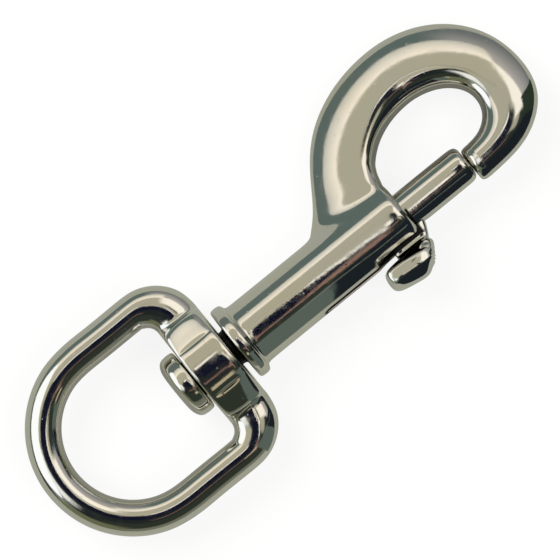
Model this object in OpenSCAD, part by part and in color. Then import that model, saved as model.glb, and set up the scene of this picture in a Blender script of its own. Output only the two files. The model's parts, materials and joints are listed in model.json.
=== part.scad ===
// Swivel snap hook (bolt snap) with a round swivel eye.
//
// Four pieces: a cast hook body (hook, barrel, collar, stem and headed-over
// end in one), a cast swivel eye that turns on the stem, a sprung bolt with its
// thumb knob, and the compression spring behind the bolt.
//
// The origin is on the swivel axis, at the inner face of the eye's bow, where a
// strap or ring pulls. +X runs along the barrel towards the hook's nose, +Y
// towards the hook's bend, and +Z is up as the snap lies: the eye is flat and the
// body has rolled over on to the belly of its hook.

/* [Swivel eye] */
// Inside width of the eye, which is the strap width it takes
eye_w = 19; // [15:0.5:28]
// Inside length of the eye, from the bow to the crossbar, along the axis
eye_l = 20.1; // [17:0.1:30]
// Diameter of the eye's rod
rod_d = 4.9; // [3.5:0.1:6.5]
// Thickness of the crossbar along the swivel axis
cross_t = 6.2; // [4.5:0.1:8]
// Full height of the boss at its crown
boss_h = 11.6; // [10.5:0.1:15]
// Radius of the boss's crown
crown_r = 7.5; // [6:0.1:12]
// Width of the crown between its two creases
crown_w = 7.2; // [6:0.1:9]
// Slope of the shoulders beside the crown, in degrees
shoulder_a = 26; // [15:1:35]
// Edge radius of the crossbar and the boss
cross_edge_r = 0.9; // [0.4:0.1:1.6]

/* [Body] */
// Outside diameter of the barrel
barrel_d = 9.1; // [8:0.1:13]
// Length of the barrel from the collar to the mouth
barrel_l = 26.8; // [25:0.1:40]
// Diameter of the collar
collar_d = 11.1; // [9.5:0.1:15]
// Thickness of the collar
collar_t = 1.95; // [1.2:0.05:4]
// Diameter of the stem that the eye turns on
stem_d = 5.2; // [3.5:0.1:6.4]
// Diameter of the headed-over end of the stem
head_d = 9.4; // [8:0.1:12]
// Thickness of the headed-over end
head_t = 3.1; // [2:0.1:4.5]

/* [Hook] */
// Inside length of the hook, from the barrel's mouth to the far side of the bend
hook_l = 16.8; // [13:0.1:24]
// Height of the hook's inside crown above the barrel's axis
hook_h = 10.7; // [9:0.1:16]
// Distance of the crown from the barrel's mouth
crown_at = 9.4; // [7:0.1:14]
// Width of the limb at the crown
limb_crown_w = 8.9; // [6:0.1:12]
// Width of the limb at the far side of the bend
limb_side_w = 8; // [5:0.1:11]
// Thickness of the limb, out of the plane of the hook
limb_t = 5.8; // [4:0.1:7]
// Diameter of the nose
nose_d = 5.2; // [4:0.1:7]
// Distance of the nose's centre below the barrel's axis
nose_drop = 1.4; // [0:0.1:2]
// Length of the limb's root along the barrel
root_l = 14.2; // [12:0.1:20]

/* [Bolt] */
// Diameter of the bolt
bolt_d = 5.4; // [4:0.1:6]
// Width of the gate, from the barrel's mouth to the nose
gate_l = 10.7; // [8:0.1:13]
// Length of the bolt that stays in the barrel when the gate is shut
bolt_hold_l = 7.8; // [6:0.1:10]
// Travel of the bolt
travel = 11.5; // [9:0.1:13]
// Thickness of the web between the bolt and the knob
web_t = 2.1; // [1.5:0.1:2.8]
// Distance of the web's rear edge behind the barrel's mouth
web_back = 4.7; // [3:0.1:6]
// Width of the knob, out of the plane of the hook
knob_w = 6; // [4:0.1:8]
// Length of the knob along the barrel
knob_l = 8.4; // [7.5:0.1:12]
// Height of the knob, away from the barrel
knob_h = 4; // [3:0.1:6]

/* [Spring] */
// Wire diameter
wire_d = 0.45; // [0.3:0.05:0.6]
// Number of coils
coils = 9; // [6:1:9]

/* [Fits] */
// Radial clearance of the stem in the boss
running_fit = 0.08; // [0.03:0.01:0.1]
// Radial play of the bolt, which lies low in its bore
bolt_play = 0.5; // [0.2:0.05:0.6]
// Side clearance of the web in the narrow slot
slot_fit = 0.12; // [0.05:0.01:0.25]
// Half width of the wide mouth of the slot beside the web
slot_lead = 1.3; // [0.8:0.1:1.6]
// Length of the wide mouth of the slot
slot_lead_l = 7.3; // [6:0.1:9]
// Gap between the head and the boss
head_gap = 0.1; // [0.05:0.05:0.3]
// End float of the eye between the boss and the collar
end_float = 0.7; // [0.3:0.05:1]
// Gap between the bolt's tip and the nose
tip_gap = 0.1; // [0.05:0.05:0.3]

/* [Hidden] */

plating = "#c9c7bd";
spring_steel = "#9a9a9c";
round_fn = 96;
cut = 1; // how far a cutter runs past the face that it opens

// Places along the axis
cross_x = eye_l;
boss_face_x = cross_x + cross_t;
head_x = cross_x - head_gap - head_t;
collar_x = boss_face_x + end_float;
barrel_x = collar_x + collar_t;
mouth_x = barrel_x + barrel_l;
nose_x = mouth_x + gate_l;
crown_x = mouth_x + crown_at;
bolt_tip_x = nose_x - tip_gap;
bolt_rear_x = mouth_x - bolt_hold_l;
web_rear_x = mouth_x - web_back;

barrel_r = barrel_d / 2;
bore_r = bolt_d / 2 + bolt_play;
bolt_seat = 0.05;                       // gap left where the bolt lies on its bore
bolt_y = -(bolt_play - bolt_seat);      // the bolt's own axis
floor_t = 1.6;                          // wall between the bore's floor and the collar
bore_floor_x = barrel_x + floor_t;
slot_w = web_t + 2 * slot_fit;
slot_lead_w = web_t + 2 * slot_lead;
// The square rear of the web stops short of the slot's round end
slot_round = (slot_w - sqrt(pow(slot_w, 2) - pow(web_t, 2))) / 2;
slot_end_x = web_rear_x - travel - slot_round - slot_fit;
rim_r = 0.6; // rounded rim of the barrel's mouth

// The body lies over until the belly of the hook is as low as the eye's boss
lie_a = asin((boss_h - limb_t) / 2 / (hook_h + limb_crown_w / 2));

// ---------------------------------------------------------------- shared shapes

// A point on an ellipse, or on a superellipse where n is not 2
function arc_point(c, a, b, t, n = 2) =
    [c.x + a * sign(cos(t)) * pow(abs(cos(t)), 2 / n),
     c.y + b * sign(sin(t)) * pow(abs(sin(t)), 2 / n)];

// A point on a cubic curve from p0 to p3
function bezier(p0, p1, p2, p3, u) =
    pow(1 - u, 3) * p0 + 3 * pow(1 - u, 2) * u * p1
    + 3 * (1 - u) * u * u * p2 + pow(u, 3) * p3;

function blend(a, b, u) = a + (b - a) * u;

// An eased step from 0 to 1
function ease(u) = let(v = min(1, max(0, u))) v * v * (3 - 2 * v);

// An oval ring of a limb, across from its inner edge p to its outer edge q
function oval_ring(p, q, half_t, n, sides) =
    let(mid = (p + q) / 2, half = (q - p) / 2)
    [for (i = [0 : sides - 1])
        let(e = arc_point([0, 0], 1, half_t, -360 * i / sides, n), m = mid + half * e.x)
        [m.x, m.y, e.y]];

// A ring with flat sides and round corners of radius r, from p to q
function rounded_ring(p, q, half_t, r, sides) =
    let(mid = (p + q) / 2, half_w = norm(q - p) / 2, dir = (q - p) / norm(q - p),
        c = min(r, half_w, half_t), per_corner = sides / 4)
    [for (k = [0 : 3]) for (i = [0 : per_corner - 1])
        let(a = 90 * k + 90 * (i + 0.5) / per_corner,
            sx = (k == 0 || k == 3) ? 1 : -1,
            sz = k < 2 ? 1 : -1,
            w = sx * (half_w - c) + c * cos(a),
            m = mid + dir * w)
        [m.x, m.y, sz * (half_t - c) + c * sin(a)]];

// The skin over a list of equal rings; closed joins the last ring to the first
module skin(rings, closed = false) {
    rows = len(rings);
    sides = len(rings[0]);
    steps = closed ? rows : rows - 1;
    sides_faces = [for (j = [0 : steps - 1]) for (i = [0 : sides - 1])
        let(a = j * sides + i, b = j * sides + (i + 1) % sides,
            c = ((j + 1) % rows) * sides + (i + 1) % sides,
            d = ((j + 1) % rows) * sides + i)
        each [[a, b, c], [a, c, d]]];
    caps = closed ? [] : [
        [for (i = [sides - 1 : -1 : 0]) i],
        [for (i = [0 : sides - 1]) (rows - 1) * sides + i]];
    polyhedron(points = [for (r = rings) each r], faces = concat(sides_faces, caps), convexity = 8);
}

// Rolls the body and what it holds over on to the hook's belly
module laid() {
    rotate([-lie_a, 0, 0])
        children();
}

// Turns an outline of [x, radius] points about the X axis
module turned(outline) {
    rotate([0, 90, 0])
        rotate_extrude($fn = round_fn)
            polygon([for (p = outline) [p.y, p.x]]);
}

// Outline points of a round edge about c, in [x, radius], from angle a0 to a1
function edge_arc(c, r, a0, a1, steps = 6) =
    [for (i = [0 : steps]) let(a = blend(a0, a1, i / steps)) [c.x + r * cos(a), c.y + r * sin(a)]];

// ---------------------------------------------------------------- swivel eye

eye_sides = 24;
bow_steps = 24;
corner_steps = 6;
eye_in_r = eye_w / 2;
eye_out_r = eye_in_r + rod_d;
eye_corner_r = 1.8;           // inside corner between the sides and the crossbar
eye_shoulder = [7, 6.6];      // outside corner, along and across the axis
half_boss = boss_h / 2;
crease_y = crown_w / 2;
crease_drop = crown_r - sqrt(pow(crown_r, 2) - pow(crease_y, 2));
crease_h = 0.2;               // depth of the crease beside the crown
shoulder_y = crease_y + 3;    // where the shoulder ends and drops to the rod

// Half height of the crossbar at distance y from the axis
function cross_half(y) =
    let(u = abs(y), end_h = half_boss - crease_drop - (shoulder_y - crease_y) * tan(shoulder_a))
    u < crease_y
        ? half_boss - (crown_r - sqrt(crown_r * crown_r - u * u)) - crease_h * pow(u / crease_y, 6)
        : u < shoulder_y
            ? half_boss - crease_drop - (u - crease_y) * tan(shoulder_a)
                - crease_h * (1 - ease((u - crease_y) / 0.5))
            : blend(max(end_h, rod_d / 2), rod_d / 2, ease((u - shoulder_y) / 1.4));

// Stations are [inner point, outer point, half thickness, corner radius]
bow_stations = [for (i = [0 : bow_steps])
    let(t = 90 + 180 * i / bow_steps, c = [eye_in_r, 0])
    [arc_point(c, eye_in_r, eye_in_r, t), arc_point(c, eye_out_r, eye_out_r, t), rod_d / 2, rod_d / 2]];

// One corner, from the straight side (u = 0) to the crossbar (u = 1), on the -Y side
function corner_station(u) =
    let(t = -90 + 90 * u,
        p = arc_point([cross_x - eye_corner_r, -eye_in_r + eye_corner_r], eye_corner_r, eye_corner_r, t),
        q = arc_point([boss_face_x - eye_shoulder.x, -eye_out_r + eye_shoulder.y],
                      eye_shoulder.x, eye_shoulder.y, t))
    [p, q, max(rod_d / 2, cross_half((p.y + q.y) / 2)), blend(rod_d / 2, cross_edge_r, ease(u))];

cross_start = eye_in_r - eye_corner_r;
cross_ys = concat(
    [for (y = [-0.96, -0.88, -0.75, -0.62]) y * cross_start],
    [-crease_y - 0.3, -crease_y, -crease_y + 0.5],
    [for (k = [-2 : 2]) k * crease_y / 3.6]);
cross_half_list = [for (y = cross_ys) if (y < 0) y];
cross_y_list = concat(cross_half_list, [0], [for (i = [len(cross_half_list) - 1 : -1 : 0]) -cross_half_list[i]]);
cross_stations = [for (y = cross_y_list)
    [[cross_x, y], [boss_face_x, y], cross_half(y), cross_edge_r]];

function flip(s) = [[s[0].x, -s[0].y], [s[1].x, -s[1].y], s[2], s[3]];
lower_corner = [for (i = [0 : corner_steps]) corner_station(i / corner_steps)];
upper_corner = [for (i = [corner_steps : -1 : 0]) flip(corner_station(i / corner_steps))];

module swivel_eye() {
    stations = concat(bow_stations, lower_corner, cross_stations, upper_corner);
    color(plating)
        difference() {
            skin([for (s = stations) rounded_ring(s[0], s[1], s[2], s[3], eye_sides)], closed = true);
            translate([cross_x - cut, 0, 0])
                rotate([0, 90, 0])
                    cylinder(r = stem_d / 2 + running_fit, h = cross_t + 2 * cut, $fn = round_fn);
        }
}

// ---------------------------------------------------------------- hook body

limb_sides = 24;
limb_half = limb_t / 2;
bend_x = mouth_x + hook_l;                     // inner far side of the bend
outer_x = bend_x + limb_side_w;                // outer far side of the bend
outer_top = hook_h + limb_crown_w;
waist_y = hook_h / 2;                          // height of the opening's widest part
nose_top = nose_d / 2 - nose_drop;
nose_bottom = -nose_d / 2 - nose_drop;
nose_run = 1.1;                                // straight part of the nose
tail_x = nose_x + nose_run;
back_a = crown_at + 8.3;                       // reach of the outer outline behind the crown
root_top_t = 150;                              // where the limb's outline leaves its ellipse

// Inner and outer edges of the bend: 90 is the crown, 0 the far side, -90 the nose
function inner_edge(t) =
    t > 90 ? arc_point([crown_x, waist_y - 1], crown_at, hook_h - waist_y + 1, t)
    : t > 0 ? arc_point([crown_x, waist_y], bend_x - crown_x, hook_h - waist_y, t)
    : arc_point([tail_x, waist_y], bend_x - tail_x, waist_y - nose_top, t, 2.15);
function outer_edge(t) =
    t > 90 ? arc_point([crown_x, waist_y], back_a, outer_top - waist_y, t)
    : t > 0 ? arc_point([crown_x, waist_y], outer_x - crown_x, outer_top - waist_y, t, 2.06)
    : arc_point([tail_x, waist_y], outer_x - tail_x, waist_y - nose_bottom, t, 2.35);

// Section of the bend: half thickness and fullness
function bend_half(t) = t > 0 ? limb_half : blend(limb_half, nose_d / 2, ease(-t / 90));
function bend_full(t) = t > 0 ? 2.5 : blend(2.5, 2.1, ease(-t / 90));

bend_rings = [for (t = [root_top_t : -7.5 : -90])
    oval_ring(inner_edge(t), outer_edge(t), bend_half(t), bend_full(t), limb_sides)];

// The root runs from the bend down into the barrel's side
root_x = mouth_x - root_l;
function root_outer(u) =
    let(p0 = outer_edge(root_top_t), p3 = [root_x, barrel_r - 0.5])
    bezier(p0, p0 + [-3.4, -4.8], [root_x + 3.4, barrel_r + 0.1], p3, u);
function root_inner(u) =
    let(p0 = inner_edge(root_top_t), p3 = [mouth_x - 0.3, bore_r - 1])
    bezier(p0, p0 + [-0.8, -1.6], [mouth_x - 0.1, barrel_r - 0.2], p3, u);
// The sides swell where they meet the barrel, which leaves a hollow fillet
function root_half(u) = limb_half + 0.55 * ease((u - 0.55) / 0.4);
root_rings = [for (u = [1 : -0.1 : 0.05])
    oval_ring(root_inner(u), root_outer(u), root_half(u), 2.5, limb_sides)];

// The nose ends in a flat face with a round lip
nose_lip = 0.5;
function nose_ring(back, shrink) =
    let(x = nose_x + back, r = nose_d / 2 - shrink)
    oval_ring([x, -nose_drop + r], [x, -nose_drop - r], r, 2.1, limb_sides);
nose_rings = [for (a = [0 : 22.5 : 90]) nose_ring(nose_lip * (1 - sin(a)), nose_lip * (1 - cos(a)))];

module limb() {
    skin(concat(root_rings, bend_rings, nose_rings));
}

// Headed end, stem, collar and barrel, turned about the axis
module spindle() {
    head_r = head_d / 2;
    head_edge = 1.3;
    collar_r = collar_d / 2;
    collar_edge = 0.55;
    dome = 0.35;
    turned(concat(
        [[head_x, 0], [head_x + dome * 0.15, head_r * 0.45]],
        edge_arc([head_x + dome + head_edge, head_r - head_edge], head_edge, 180, 90),
        edge_arc([cross_x - head_gap - 0.5, head_r - 0.5], 0.5, 90, 0),
        [[cross_x - head_gap, stem_d / 2], [collar_x, stem_d / 2]],
        edge_arc([collar_x + collar_edge, collar_r - collar_edge], collar_edge, 180, 90),
        edge_arc([barrel_x - collar_edge - 0.2, collar_r - collar_edge], collar_edge, 90, 10),
        [[barrel_x, barrel_r + 0.1], [barrel_x, barrel_r]],
        edge_arc([mouth_x - rim_r, barrel_r - rim_r], rim_r, 90, 0),
        [[mouth_x, 0]]));
}

// Blind bore with a drill-point floor, open to the mouth
module bore() {
    point_l = bore_r * tan(15);
    turned([[bore_floor_x, 0],
            [bore_floor_x + point_l, bore_r],
            [mouth_x + cut, bore_r],
            [mouth_x + cut, 0]]);
}

// The slot that the web runs in: narrow, with a wide mouth
module slot() {
    deep = barrel_r + cut;
    translate([slot_end_x + slot_w / 2, -deep, -slot_w / 2])
        cube([mouth_x - slot_end_x, deep, slot_w]);
    translate([slot_end_x + slot_w / 2, 0, 0])
        rotate([90, 0, 0])
            cylinder(r = slot_w / 2, h = deep, $fn = round_fn);
    translate([mouth_x - slot_lead_l, -deep, -slot_lead_w / 2])
        cube([slot_lead_l + cut, deep, slot_lead_w]);
}

module hook_body() {
    color(plating)
        laid()
            difference() {
                union() {
                    spindle();
                    limb();
                }
                bore();
                slot();
            }
}

// ---------------------------------------------------------------- bolt

knob_gap = 0.4;                       // running gap between the knob and the barrel
knob_top = -barrel_r - knob_gap;
knob_x = mouth_x + 0.6 - knob_l;      // rear end of the knob
knob_edge = 0.5;

// Outline of the knob, from the rear top corner round to the front top corner, as
// shares of its length and height
knob_outline = [for (p = [[0.04, 0.03], [0, 0.62], [0.14, 0.86], [0.56, 1], [0.8, 0.72], [1, 0.2], [0.9, 0]])
    [knob_x + knob_l * p.x, knob_top - knob_h * p.y]];
// The side faces are smaller than the outline, which bevels the flanks
knob_face = [for (p = [[0.14, 0.06], [0.14, 0.54], [0.6, 0.72], [0.86, 0.2], [0.84, 0.06]])
    [knob_x + knob_l * p.x, knob_top - knob_h * p.y]];

module knob() {
    mid = [knob_x + knob_l / 2, knob_top - knob_h * 0.45];
    hull() {
        for (p = knob_outline, z = [-0.12, 0.12])
            translate(concat(blend(p, mid, knob_edge / norm(p - mid)), z * knob_w))
                sphere(r = knob_edge, $fn = 16);
        for (p = knob_face, z = [-1, 1])
            translate(concat(blend(p, mid, knob_edge / norm(p - mid)), z * (knob_w / 2 - knob_edge)))
                sphere(r = knob_edge, $fn = 16);
    }
}

module web() {
    bolt_bottom = bolt_y - bolt_d / 2;
    foot_y = bolt_bottom + 1;
    translate([0, 0, -web_t / 2])
        linear_extrude(web_t)
            polygon([[web_rear_x, foot_y], [web_rear_x, knob_top - 1],
                     [mouth_x + 0.1, knob_top - 1], [mouth_x + 0.3, knob_top],
                     [mouth_x + 1.5, bolt_bottom + 0.2], [mouth_x + 1.5, foot_y]]);
}

module bolt() {
    r = bolt_d / 2;
    tip_edge = 0.35;
    rear_edge = 0.4;
    color(plating)
        laid()
            union() {
                translate([0, bolt_y, 0])
                    turned(concat(
                        [[bolt_rear_x, 0], [bolt_rear_x, r - rear_edge], [bolt_rear_x + rear_edge, r]],
                        edge_arc([bolt_tip_x - tip_edge, r - tip_edge], tip_edge, 90, 0),
                        [[bolt_tip_x, 0]]));
                web();
                knob();
            }
}

// ---------------------------------------------------------------- spring

turn_steps = 18;
spring_gap = 0.05;                     // gap left at each end of the spring
coil_r = bolt_d / 2 - wire_d / 2 - 0.15;
spring_x0 = bore_floor_x + bore_r * tan(15) + wire_d / 2 + spring_gap;
spring_x1 = bolt_rear_x - wire_d / 2 - spring_gap;

// Distance along the axis after so many turns: the end turns lie closed
function coil_x(turns) =
    let(closed = wire_d * 1.05, open = (spring_x1 - spring_x0 - 2 * closed) / (coils - 2))
    turns < 1 ? spring_x0 + closed * turns
    : turns > coils - 1 ? spring_x1 - closed * (coils - turns)
    : spring_x0 + closed + open * (turns - 1);

module spring() {
    rings = [for (k = [0 : coils * turn_steps])
        let(turns = k / turn_steps, a = 360 * turns, x = coil_x(turns))
        [for (i = [0 : 7])
            let(b = 45 * i, r = coil_r + wire_d / 2 * cos(b))
            [x + wire_d / 2 * sin(b), bolt_y + r * cos(a), r * sin(a)]]];
    color(spring_steel)
        laid()
            skin(rings);
}

hook_body();
swivel_eye();
bolt();
spring();
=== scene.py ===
"""Looks of a swivel snap hook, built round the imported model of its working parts.

The working model says where each piece lies and how it moves. This script models
the four pieces again at those places, with the soft edges, hollows and creases of
real castings, plates them in polished nickel and sets them in a plain studio.

Pieces are modelled in millimetres along the +X axis of the barrel. As each one is
laid in place it is scaled to metres, and what belongs to the body is rolled over on
to the belly of the hook, as in the working model.
"""
import json
import logging
from dataclasses import dataclass, replace
from enum import Enum
from math import asin, atan2, copysign, cos, pi, radians, sin, sqrt, tan, tau
from typing import Any, Callable, Sequence

import bmesh
import bpy
from mathutils import Matrix, Vector


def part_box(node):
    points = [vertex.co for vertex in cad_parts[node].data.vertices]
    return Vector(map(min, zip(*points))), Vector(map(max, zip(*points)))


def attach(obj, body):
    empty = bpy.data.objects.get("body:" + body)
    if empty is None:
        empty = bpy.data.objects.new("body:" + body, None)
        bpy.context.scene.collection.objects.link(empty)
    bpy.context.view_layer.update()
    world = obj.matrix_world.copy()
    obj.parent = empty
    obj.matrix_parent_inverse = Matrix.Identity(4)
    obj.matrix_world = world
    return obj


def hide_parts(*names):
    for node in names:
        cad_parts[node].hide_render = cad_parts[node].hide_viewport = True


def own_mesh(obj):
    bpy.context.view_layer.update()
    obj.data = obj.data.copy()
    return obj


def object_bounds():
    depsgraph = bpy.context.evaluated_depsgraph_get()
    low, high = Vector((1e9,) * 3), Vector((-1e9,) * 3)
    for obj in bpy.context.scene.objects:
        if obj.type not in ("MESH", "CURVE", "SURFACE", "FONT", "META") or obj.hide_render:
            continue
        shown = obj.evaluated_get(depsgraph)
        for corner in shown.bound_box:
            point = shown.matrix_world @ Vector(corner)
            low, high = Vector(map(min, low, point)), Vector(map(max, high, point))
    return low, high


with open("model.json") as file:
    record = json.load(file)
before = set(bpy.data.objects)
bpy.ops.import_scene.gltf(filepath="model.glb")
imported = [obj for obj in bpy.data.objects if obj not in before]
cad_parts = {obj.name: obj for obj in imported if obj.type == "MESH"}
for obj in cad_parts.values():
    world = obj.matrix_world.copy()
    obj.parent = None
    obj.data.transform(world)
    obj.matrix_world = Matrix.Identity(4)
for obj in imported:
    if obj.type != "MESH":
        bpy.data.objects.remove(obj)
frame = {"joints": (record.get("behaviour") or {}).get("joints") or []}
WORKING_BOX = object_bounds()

log = logging.getLogger("snap_hook")

MM = 0.001
RING = 16            # vertices round a cage
LEVELS = 3           # subdivision of a cage
OVAL_ROUNDS = 6      # rounds in which an oval's cage is corrected
CORNER_RUN = 1.1     # from a square's corner to the vertices beside it, in corner radii
CORNER_CUT = 0.12    # how far in its corner vertex lies, in corner radii
DIP_BESIDE = 0.55    # share of a dip that the vertices beside its middle have
FINE = 1e-4          # tolerance when vertices are picked by place, in millimetres
Pair = tuple[float, float]
Triple = tuple[float, float, float]
Quad = tuple[float, float, float, float]
Half = tuple[Pair, ...]          # half of a ring
Socket = bpy.types.NodeSocket
Object = bpy.types.Object


class Slot(Enum):
    """The record's material slots."""

    BODY = "body_plating"
    EYE = "eye_plating"
    BOLT = "bolt_plating"
    SPRING = "spring_steel"


class Body(Enum):
    """The working model's moving bodies."""

    BODY = "body"
    EYE = "eye"
    BOLT = "bolt"


# ------------------------------------------------------------------ places


def box_mm(node: str) -> tuple[Vector, Vector]:
    """Gives the lowest and the highest corner of a working node, in millimetres."""
    low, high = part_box(node)
    return low / MM, high / MM


@dataclass(frozen=True)
class Places:
    """Where things lie along the axis, in millimetres, as the working model has them."""

    head: float
    boss: float
    bore_floor: float
    bolt_rear: float
    bolt_tip: float
    travel: float
    spring_start: float
    spring_end: float
    floor_gap = 0.9              # from the bore's floor to the spring

    @classmethod
    def read(cls) -> "Places":
        """Reads the places from the boxes of the nodes and the travel of the bolt.

        Returns:
            The places.
        """
        spring_start, spring_end = (corner.x for corner in box_mm("spring"))
        bolt_rear, bolt_tip = (corner.x for corner in box_mm("bolt"))
        slide = next(joint for joint in frame["joints"] if joint["name"] == "bolt_slide")
        return cls(head=box_mm("hook_body")[0].x, boss=box_mm("swivel_eye")[1].x,
                   bore_floor=spring_start - cls.floor_gap, bolt_rear=bolt_rear, bolt_tip=bolt_tip,
                   travel=max(slide["range_m"]) / MM, spring_start=spring_start, spring_end=spring_end)


# ------------------------------------------------------------------ bench tools


def clear_bench() -> None:
    """Leaves edit mode and deselects everything."""
    if bpy.context.object and bpy.context.object.mode != "OBJECT":
        bpy.ops.object.mode_set(mode="OBJECT")
    bpy.ops.object.select_all(action="DESELECT")


def take(piece: Object) -> None:
    """Makes a piece the only selected and the active one.

    Args:
        piece: the piece.
    """
    clear_bench()
    piece.select_set(True)
    bpy.context.view_layer.objects.active = piece


def place_in_mesh(piece: Object) -> None:
    """Moves a piece's place, turn and scale into its mesh."""
    take(piece)
    bpy.ops.object.transform_apply(location=True, rotation=True, scale=True)


def open_whole(piece: Object) -> None:
    """Opens a piece in edit mode with all of it selected.

    Args:
        piece: the piece.
    """
    take(piece)
    bpy.ops.object.mode_set(mode="EDIT")
    bpy.ops.mesh.select_mode(type="VERT")
    select("SELECT")


def select(action: str) -> None:
    """Selects or deselects all of the mesh that is being edited."""
    bpy.ops.mesh.select_all(action=action)


def open_mesh() -> bmesh.types.BMesh:
    """Gives the mesh that is being edited, its vertices numbered.

    Returns:
        The mesh.
    """
    mesh = bmesh.from_edit_mesh(bpy.context.object.data)
    mesh.verts.ensure_lookup_table()
    mesh.verts.index_update()
    return mesh


def picked() -> list[int]:
    """Gives the numbers of the vertices that are selected."""
    return [v.index for v in open_mesh().verts if v.select]


def pick(numbers: Sequence[int]) -> None:
    """Selects vertices by number, and nothing else.

    Args:
        numbers: the vertices' numbers.
    """
    select("DESELECT")
    mesh = open_mesh()
    for number in numbers:
        mesh.verts[number].select = True
    mesh.select_flush_mode()
    bmesh.update_edit_mesh(bpy.context.object.data)


def pick_faces(rule: Callable[[Vector], bool]) -> None:
    """Selects the faces whose middles a rule keeps, and nothing else.

    Args:
        rule: says from a face's middle whether it is selected.
    """
    bpy.ops.mesh.select_mode(type="FACE")
    select("DESELECT")
    mesh = open_mesh()
    for face in mesh.faces:
        face.select = rule(face.calc_center_median())
    mesh.select_flush_mode()
    bmesh.update_edit_mesh(bpy.context.object.data)


def open_ring(name: str, vertices: int, radius: float, **settings: Any) -> tuple[Object, list[int]]:
    """Adds a ring of vertices and opens it in edit mode, all selected.

    Args:
        name: the new piece's name.
        vertices: how many it has.
        radius: its radius.
        settings: its rotation, location or fill_type.

    Returns:
        The piece, and the numbers of its vertices.
    """
    clear_bench()
    bpy.ops.mesh.primitive_circle_add(vertices=vertices, radius=radius, **settings)
    piece = bpy.context.object
    piece.name = name
    place_in_mesh(piece)
    open_whole(piece)
    return piece, picked()


def carry(spots: Sequence[tuple[int, Vector]]) -> None:
    """Carries vertices, given by number, each to its new place.

    Args:
        spots: a number and a place for each vertex.
    """
    for number, spot in spots:
        pick([number])
        shift(spot - open_mesh().verts[number].co)


def extrude(step: Sequence[float]) -> None:
    """Extrudes what is selected by a step."""
    bpy.ops.mesh.extrude_region_move(TRANSFORM_OT_translate={"value": tuple(step)})


def stretch(shares: Sequence[float], about: Sequence[float]) -> None:
    """Stretches what is selected along X, Y and Z, about a point that stays."""
    bpy.ops.transform.resize(value=tuple(shares), center_override=tuple(about))


def shift(step: Sequence[float]) -> None:
    """Moves what is selected by a step."""
    bpy.ops.transform.translate(value=tuple(step))


def close_ends(first: Sequence[int]) -> None:
    """Fills the selected ring of edges and another one, given by its vertices.

    Args:
        first: the other ring's vertices.
    """
    bpy.ops.mesh.edge_face_add()
    pick(first)
    bpy.ops.mesh.edge_face_add()


def face_outwards(piece: Object) -> None:
    """Merges doubles and turns all faces of a closed piece outwards.

    Args:
        piece: the piece.
    """
    open_whole(piece)
    bpy.ops.mesh.remove_doubles(threshold=FINE)
    bpy.ops.mesh.normals_make_consistent(inside=False)


def apply_all(piece: Object) -> None:
    """Applies all modifiers of a piece, first to last.

    Args:
        piece: the piece.
    """
    take(piece)
    for modifier in list(piece.modifiers):
        bpy.ops.object.modifier_apply(modifier=modifier.name)


def subdivide(piece: Object, levels: int = LEVELS) -> None:
    """Closes a cage's surface outwards and smooths it by subdivision.

    Args:
        piece: the cage.
        levels: how often it is subdivided.
    """
    face_outwards(piece)
    smoothing = piece.modifiers.new("Smooth", "SUBSURF")
    smoothing.levels = smoothing.render_levels = levels
    smoothing.boundary_smooth = "ALL"
    apply_all(piece)


def carve(piece: Object, cutter: Object, operation: str = "DIFFERENCE") -> None:
    """Cuts a piece with a closed cutter, or joins the two, and removes the cutter.

    Args:
        piece: what is cut.
        cutter: the closed shape that cuts.
        operation: DIFFERENCE or UNION.
    """
    boolean = piece.modifiers.new("Carve", "BOOLEAN")
    boolean.operation = operation
    boolean.solver = "EXACT"
    boolean.object = cutter
    apply_all(piece)
    bpy.data.objects.remove(cutter)


def join(pieces: Sequence[Object]) -> Object:
    """Joins pieces into the first of them.

    Args:
        pieces: the pieces.

    Returns:
        The first piece, with all of them in it.
    """
    take(pieces[0])
    for piece in pieces:
        piece.select_set(True)
    bpy.ops.object.join()
    return bpy.context.object


def soften(piece: Object, angle: float = 40) -> None:
    """Shades a piece smooth, apart from edges that are sharper than an angle in degrees."""
    take(piece)
    bpy.ops.object.shade_smooth_by_angle(angle=radians(angle))


def lay(piece: Object, roll: float = 0) -> None:
    """Scales a piece from millimetres to metres and rolls it about the X axis into its place.

    Args:
        piece: the piece.
        roll: the angle, in radians.
    """
    piece.scale = (MM, MM, MM)
    piece.rotation_euler = (roll, 0, 0)
    place_in_mesh(piece)


# ------------------------------------------------------------------ shared curves


def arc_point(centre: Pair, reach: Pair, angle: float, full: float = 2) -> Vector:
    """Gives a point on an ellipse, or on a fuller curve.

    Args:
        centre: the centre, in the XY plane.
        reach: half width and half height.
        angle: in degrees.
        full: 2 for an ellipse, more for a squarer curve.

    Returns:
        The point.
    """
    across, up = cos(radians(angle)), sin(radians(angle))
    return Vector((centre[0] + reach[0] * copysign(abs(across) ** (2 / full), across),
                   centre[1] + reach[1] * copysign(abs(up) ** (2 / full), up), 0))


def bezier(points: Sequence[Pair], share: float) -> Vector:
    """Gives a point on a cubic curve of four points, at a share of its run.

    Args:
        points: the four points.
        share: the share of the run.

    Returns:
        The point.
    """
    rest = 1 - share
    weights = (rest ** 3, 3 * rest ** 2 * share, 3 * rest * share ** 2, share ** 3)
    return sum((Vector((*point, 0)) * weight for point, weight in zip(points, weights)), Vector())


def mix(start: float, end: float, share: float) -> float:
    """Gives a value between two others."""
    return start + (end - start) * share


def ease(share: float) -> float:
    """Gives an eased step from 0 to 1."""
    held = min(1.0, max(0.0, share))
    return held * held * (3 - 2 * held)


# ------------------------------------------------------------------ cages


def cage_share() -> float:
    """Gives how much larger a round cage ring is than the smoothed shape inside it."""
    return 3 / (2 + cos(tau / RING))


def blended(first: Half, second: Half, share: float) -> Half:
    """Blends two half rings."""
    return tuple((mix(a[0], b[0], share), mix(a[1], b[1], share)) for a, b in zip(first, second))


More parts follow.
